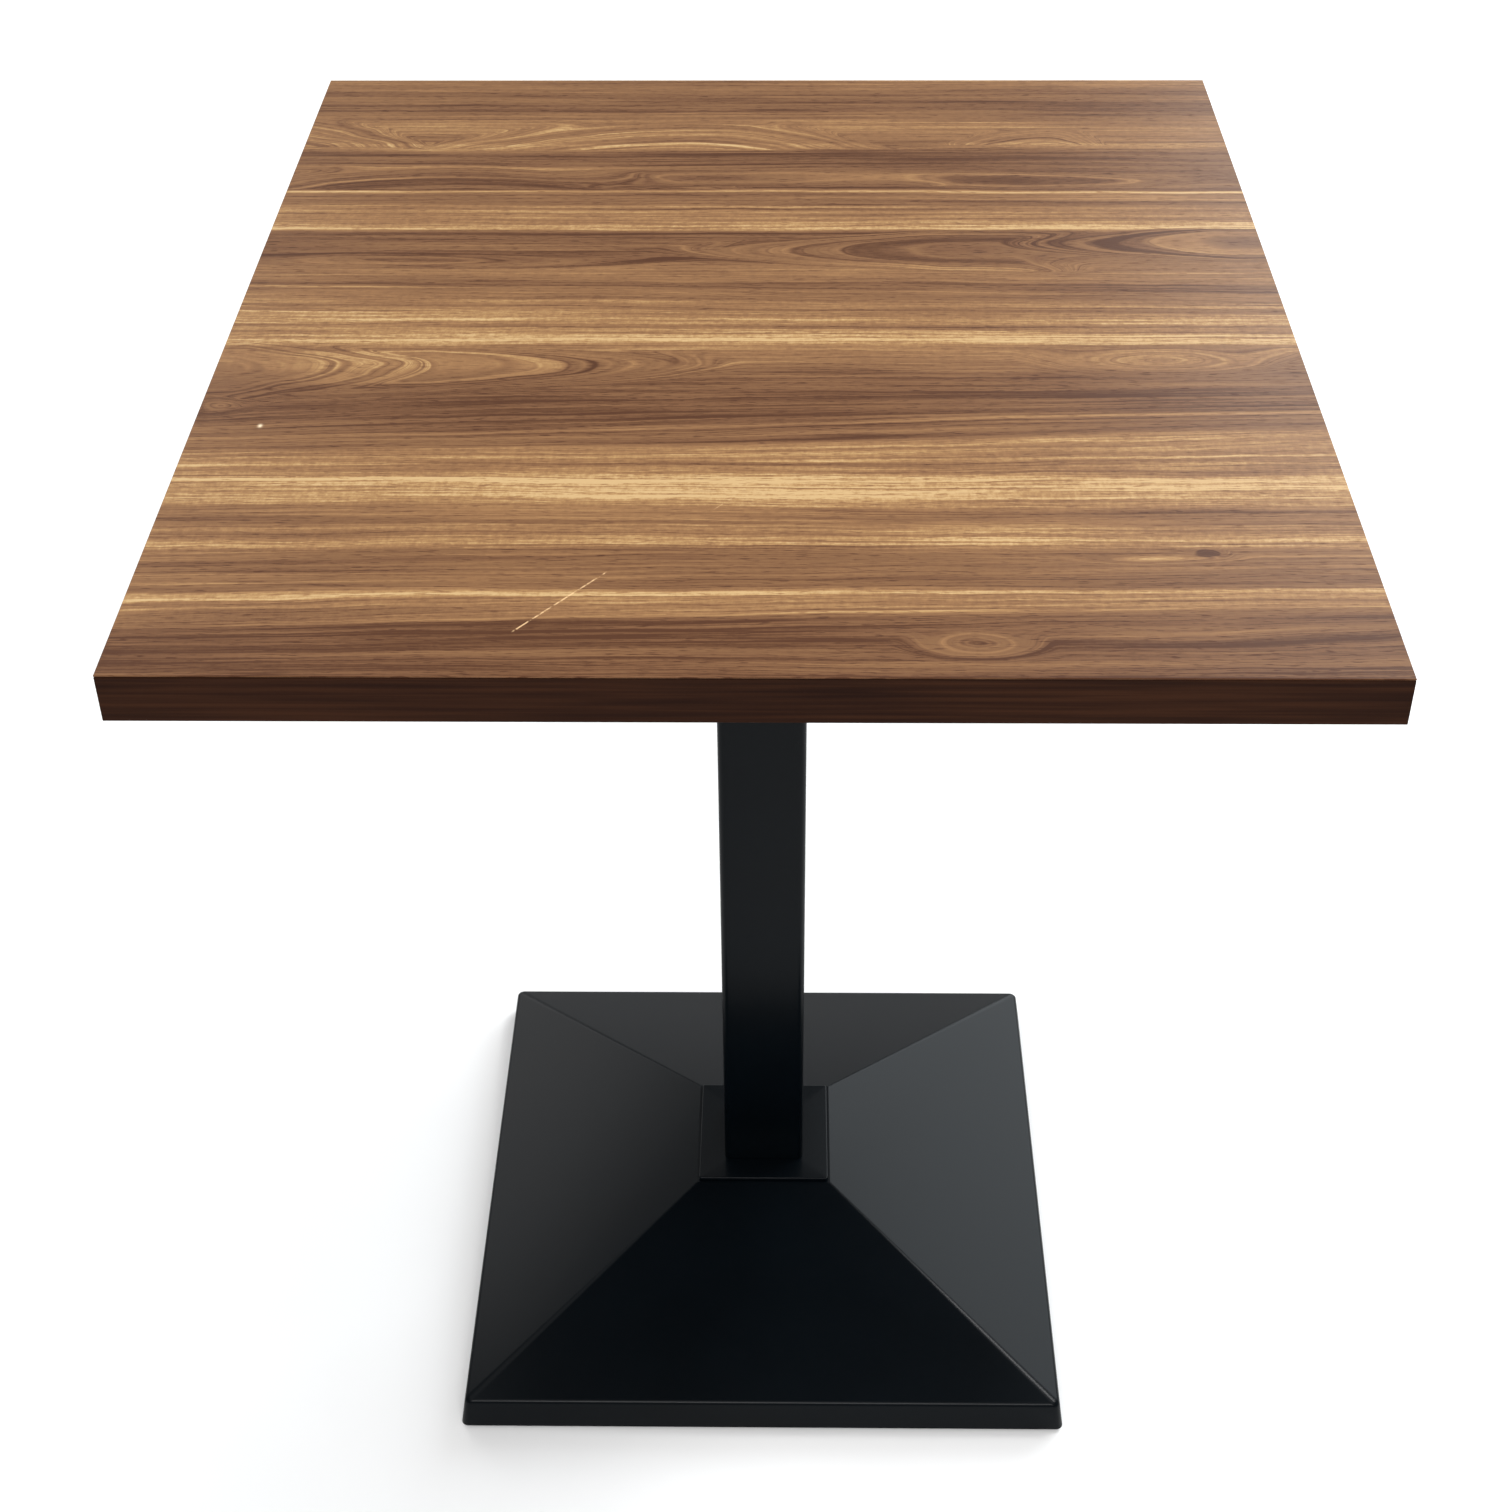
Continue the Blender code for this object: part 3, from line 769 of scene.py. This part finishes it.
MATERIALS = {
    "walnut_laminate": walnut_laminate(),
    "walnut_edging": walnut_edging(),
    "chipboard": chipboard(),
    "backing_laminate": moulded("backing_sheet", srgb(44, 34, 28), srgb(60, 47, 39), 0.55),
    "black_powder_coat": powder_coat("black_powder_coat_paint", srgb(3, 7, 11), 0.36, 0.035),
    "cast_iron": cast_iron(),
    "zinc_plated_steel": zinc_plate(),
    "foot_plastic": moulded("foot_nylon", srgb(20, 20, 21), srgb(34, 34, 35), 0.5),
}


def paint_cad_nodes():
    """Gives every CAD node that stays visible the finish of its slot."""
    for subpart in frame["record"]["subparts"]:
        obj = frame["nodes"][subpart["node"]]
        for slot in obj.material_slots:
            slot.material = MATERIALS[subpart["material_slot"]]


def soften_edges(node, width):
    """Rounds a CAD node's arrises, on welded and merged flat faces."""
    obj = frame["nodes"][node]
    weld = obj.modifiers.new("Weld", "WELD")
    weld.merge_threshold = 0.00001
    flat = obj.modifiers.new("Flat faces", "DECIMATE")
    flat.decimate_type = "DISSOLVE"
    flat.angle_limit = math.radians(1)
    bevel = obj.modifiers.new("Arrises", "BEVEL")
    bevel.width = width
    bevel.segments = 2
    bevel.limit_method = "ANGLE"
    bevel.angle_limit = math.radians(40)
    bevel.harden_normals = True


# ---------------------------------------------------------------- pieces


def make_base_shell():
    """The pressed cover: flat top, four slopes and a leaning skirt, with rolled folds and round hips."""
    low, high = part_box("base_cover")
    cap_low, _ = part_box("cap_plate")
    half_floor = high.x
    half_top = -cap_low.x + COVER_TOP_RIM
    half_fold = half_floor - SKIRT_DRAFT
    fold_height = low.z + SKIRT_HEIGHT
    slope = math.atan2(high.z - fold_height, half_fold - half_top)
    skirt = math.atan2(fold_height - low.z, half_floor - half_fold)
    under_top = half_top - SHEET * math.tan(slope / 2)
    under_fold = half_fold - SHEET * math.tan((slope + skirt) / 2) * 0.6
    under_fold_height = fold_height - SHEET * 0.98
    profile = [
        (ROD_HOLE, high.z, 0),
        (half_top, high.z, TOP_FOLD_RADIUS),
        (half_fold, fold_height, SKIRT_FOLD_RADIUS),
        (half_floor, low.z, 0.4 * MM),
        (half_floor - SHEET, low.z, 0.4 * MM),
        (under_fold - 0.9 * MM, under_fold_height, 0.6 * MM),
        (under_top, high.z - SHEET, 0.6 * MM),
        (ROD_HOLE, high.z - SHEET, 0),
    ]

    def corner_of(half, height):
        if half < 10 * MM:
            return half
        share = min(1.0, max(0.0, (half - half_top) / (half_floor - half_top)))
        return (1.6 + 3.0 * share) * MM

    mesh = square_body("base_shell", profile, corner_of)
    new_piece("base_shell", mesh, "black_powder_coat", "base_cover")


def make_cap():
    low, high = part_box("cap_plate")
    round_edge = 0.9 * MM
    profile = [
        (ROD_HOLE, high.z, 0),
        (high.x, high.z, round_edge),
        (high.x, low.z, round_edge * 0.7),
        (ROD_HOLE, low.z, 0),
    ]
    mesh = square_body("cap", profile, lambda half, height: half if half < 10 * MM else 1.6 * MM)
    new_piece("cap", mesh, "black_powder_coat", "cap_plate")


def make_column():
    low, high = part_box("column_tube")
    profile = [
        (high.x, high.z, 0.4 * MM),
        (high.x, low.z, 0.4 * MM),
        (high.x - SHEET, low.z, 0.3 * MM),
        (high.x - SHEET, high.z, 0.3 * MM),
    ]
    mesh = square_body("column", profile, lambda half, height: COLUMN_CORNER - (high.x - half), steps=3)
    new_piece("column", mesh, "black_powder_coat", "column_tube")


def make_counterweight():
    low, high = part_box("counterweight")
    slab_top = low.z + 10 * MM
    pocket_top = low.z + 14 * MM
    pocket_radius = 14.5 * MM
    profile = [
        (ROD_HOLE, high.z, 0),
        (42 * MM, high.z, 2 * MM),
        (57.4 * MM, slab_top, 3 * MM),
        (high.x, slab_top, 2 * MM),
        (high.x, low.z, 1.5 * MM),
        (pocket_radius, low.z, 0.8 * MM),
        (pocket_radius, pocket_top, 0),
        (ROD_HOLE, pocket_top, 0),
    ]

    def corner_of(half, height):
        if half < 20 * MM:
            return half
        share = min(1.0, max(0.0, (half - 60 * MM) / (high.x - 60 * MM)))
        return (8 + 12 * share) * MM

    mesh = square_body("weight_casting", profile, corner_of, steps=4)
    under = low.z - 5 * MM
    over = low.z + 20 * MM
    cutter = [(0, under, 0), (BUSH_HOLE, under, 0), (BUSH_HOLE, over, 0), (0, over, 0)]
    holes = [lathe(f"hole_{i}", cutter, middle_of(f"foot_insert_{i}")) for i in range(1, 5)]
    mesh = carve(mesh, "DIFFERENCE", holes)
    new_piece("weight_casting", mesh, "cast_iron", "counterweight")


def make_spider_screws():
    """Pan heads with a cross recess; their shanks are in the board."""
    for i in range(1, 9):
        node = f"spider_screw_{i}"
        low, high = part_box(node)
        centre = middle_of(node)
        head_top = low.z + 3 * MM
        head_radius = 4.5 * MM
        shank_radius = 2.2 * MM
        profile = [
            (0, low.z, 0),
            (3 * MM, low.z, 0.8 * MM),
            (head_radius, low.z + 1.6 * MM, 0.6 * MM),
            (head_radius, head_top, 0.15 * MM),
            (shank_radius, head_top, 0),
            (shank_radius, high.z - 4 * MM, 0.6 * MM),
            (0, high.z, 0),
        ]
        mesh = lathe(f"screw_{i}", profile, centre, steps=32)
        tools = []
        for turn in (0, 1):
            size = Vector((4.6, 0.9, 3.0)) * MM
            blade = bmesh.new()
            bmesh.ops.create_cube(blade, size=1.0)
            bmesh.ops.scale(blade, vec=size, verts=blade.verts)
            angle = math.radians(25 * i) + turn * math.pi / 2
            bmesh.ops.rotate(blade, matrix=Matrix.Rotation(angle, 3, "Z"), verts=blade.verts)
            bmesh.ops.translate(blade, vec=(*centre, low.z), verts=blade.verts)
            tool = bpy.data.meshes.new(f"blade_{i}_{turn}")
            blade.to_mesh(tool)
            blade.free()
            tools.append(tool)
        mesh = carve(mesh, "DIFFERENCE", tools)
        new_piece(f"screw_{i}", mesh, "zinc_plated_steel", node)


def make_tie_rod():
    low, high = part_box("tie_rod")
    thread = 34 * MM
    ranges = ((low.z + 0.5 * MM, low.z + thread), (high.z - thread, high.z - 0.5 * MM))
    mesh = threaded_rod("clamping_rod", high.x, ROD_PITCH, low.z, high.z, ranges)
    new_piece("clamping_rod", mesh, "zinc_plated_steel", "tie_rod")
    for name in ("top_nut", "bottom_nut"):
        low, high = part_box(name)
        half_flats = (high.x - low.x) / 2
        chamfer = 0.6 * half_flats * (1 / math.cos(math.pi / 6) - 1)
        mesh = hexagon(name, half_flats, low.z, high.z, chamfer, NUT_BORE)
        new_piece(name + "_hex", mesh, "zinc_plated_steel", name)
    for name in ("top_washer", "bottom_washer"):
        low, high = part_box(name)
        edge = 0.3 * MM
        profile = [
            (high.x, high.z, edge),
            (high.x, low.z, edge),
            (NUT_BORE, low.z, edge),
            (NUT_BORE, high.z, edge),
        ]
        mesh = lathe(name + "_ring", profile)
        new_piece(name + "_ring", mesh, "zinc_plated_steel", name)


def make_bush(i, centre):
    low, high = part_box(f"foot_insert_{i}")
    bore = STUD_RADIUS + 0.3 * MM
    flange_radius = 10 * MM
    flange_low = high.z - 2 * MM
    barrel_radius = 7 * MM
    profile = [
        (bore, high.z, 0.4 * MM),
        (flange_radius, high.z, 0.5 * MM),
        (flange_radius, flange_low, 0.3 * MM),
        (barrel_radius, flange_low, 0),
        (barrel_radius, low.z, 0.4 * MM),
        (bore, low.z, 0.4 * MM),
    ]
    mesh = lathe(f"bush_{i}", profile, centre)
    new_piece(f"bush_{i}", mesh, "zinc_plated_steel", f"foot_insert_{i}")


def make_stud(i, centre):
    low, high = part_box(f"foot_stud_{i}")
    shank_low = 5 * MM
    thread = (12 * MM, high.z)
    shank = threaded_rod(
        f"stud_{i}", STUD_RADIUS, STUD_PITCH, shank_low, high.z, (thread,), centre, steps=28
    )
    swivel_radius = 5.3 * MM
    swivel_top = 5.6 * MM
    outline = [
        (0, low.z, 0),
        (swivel_radius, low.z, 0.9 * MM),
        (swivel_radius, swivel_top, 0.5 * MM),
        (0, swivel_top, 0),
    ]
    swivel = lathe(f"swivel_{i}", outline, centre, steps=32)
    grip = hexagon(f"grip_{i}", 6.5 * MM, 7.3 * MM, 10.8 * MM, 0.6 * MM, centre=centre)
    mesh = carve(shank, "UNION", [swivel, grip])
    body = f"foot_{i}_stud_body"
    new_piece(f"stud_{i}", mesh, "zinc_plated_steel", f"foot_stud_{i}", body=body)


def make_pad(i, centre):
    """A moulded foot with a socket for the stud's swivel."""
    _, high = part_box(f"foot_pad_{i}")
    socket_radius = 5.7 * MM
    mouth_radius = 4.5 * MM
    rim_radius = 15 * MM
    profile = [
        (0, 2.5 * MM, 0),
        (socket_radius, 2.5 * MM, 0.3 * MM),
        (socket_radius, 6 * MM, 0.2 * MM),
        (mouth_radius, 6 * MM, 0),
        (mouth_radius, high.z, 0.3 * MM),
        (10 * MM, high.z, 1.2 * MM),
        (14 * MM, 3.6 * MM, 2 * MM),
        (rim_radius, 2.2 * MM, 0.5 * MM),
        (rim_radius, 0.6 * MM, 0.3 * MM),
        (14.4 * MM, 0, 0.2 * MM),
        (0, 0, 0),
    ]
    mesh = lathe(f"pad_{i}", profile, centre)
    body = f"foot_{i}_pad_body"
    new_piece(f"pad_{i}", mesh, "foot_plastic", f"foot_pad_{i}", body=body)


def make_feet():
    """A threaded bush, an M8 swivel stud and a moulded pad at each corner."""
    for i in range(1, 5):
        centre = middle_of(f"foot_pad_{i}")
        make_bush(i, centre)
        make_stud(i, centre)
        make_pad(i, centre)


# ---------------------------------------------------------------- stage


def make_camera():
    data = bpy.data.cameras.new("camera")
    data.lens = CAMERA_LENS
    data.sensor_width = 36.0
    camera = bpy.data.objects.new("camera", data)
    bpy.context.scene.collection.objects.link(camera)
    turn = (
        Matrix.Rotation(CAMERA_LEFT, 4, "Z")
        @ Matrix.Rotation(math.pi / 2 - CAMERA_DOWN, 4, "X")
        @ Matrix.Rotation(CAMERA_ROLL, 4, "Z")
    )
    camera.matrix_world = Matrix.Translation(CAMERA_PLACE) @ turn
    bpy.context.scene.camera = camera


def make_floor():
    g = Graph("studio_floor")
    x, y, z = g.place_mm()
    cloud = g.noise(g.vector(x, y, z), scale=0.004, detail=3)
    colour = g.ramp(cloud, ((0.3, (0.90, 0.90, 0.90)), (0.7, (0.93, 0.93, 0.93))))
    material = g.finish(colour=colour, roughness=0.9, specular=0.1)
    half = 9.0
    mesh = bpy.data.meshes.new("studio_floor")
    corners = [(-half, -half, 0), (half, -half, 0), (half, half, 0), (-half, half, 0)]
    mesh.from_pydata(corners, [], [(0, 1, 2, 3)])
    mesh.materials.append(material)
    floor = bpy.data.objects.new("studio_floor", mesh)
    bpy.context.scene.collection.objects.link(floor)


def area_light(name, place, target, width, height, watts, colour=(1, 1, 1)):
    data = bpy.data.lights.new(name, "AREA")
    data.shape = "RECTANGLE"
    data.size = width
    data.size_y = height
    data.energy = watts
    data.color = colour
    light = bpy.data.objects.new(name, data)
    light.location = place
    aim = Vector(target) - Vector(place)
    light.rotation_mode = "QUATERNION"
    light.rotation_quaternion = aim.to_track_quat("-Z", "Y")
    bpy.context.scene.collection.objects.link(light)


def make_lights():
    world = bpy.data.worlds.new("studio")
    world.use_nodes = True
    background = world.node_tree.nodes["Background"]
    background.inputs["Color"].default_value = (1.0, 1.0, 1.0, 1.0)
    background.inputs["Strength"].default_value = 0.33
    bpy.context.scene.world = world
    area_light("overhead", (0, 0.6, 3.6), (0, 0.6, 0), 4.5, 5.7, 74)
    area_light("front", (0, -2.6, 2.9), (0, 0, 0.3), 2.4, 1.0, 70)
    area_light("back_right", (2.2, 2.9, 1.9), (0, 0, 0.4), 2.9, 2.4, 105, (0.93, 1.0, 1.04))
    area_light("back_left", (-2.0, 2.8, 1.5), (0, 0, 0.3), 1.8, 1.3, 21)
    area_light("upper_right", (1.8, 0.95, 3.45), (0.1, -0.1, 0), 1.0, 0.5, 40)
    area_light("back_low", (0, 2.8, 0.6), (0, 0, 0.05), 2.6, 0.8, 5)


bpy.context.scene.view_settings.view_transform = "Standard"
paint_cad_nodes()
soften_edges("top_laminate", 0.3 * MM)
soften_edges("top_spider", 0.8 * MM)
for side in ("front", "back", "left", "right"):
    soften_edges(f"edge_band_{side}", 0.4 * MM)
make_base_shell()
make_cap()
make_column()
make_counterweight()
make_spider_screws()
make_tie_rod()
make_feet()
make_floor()
make_lights()
make_camera()
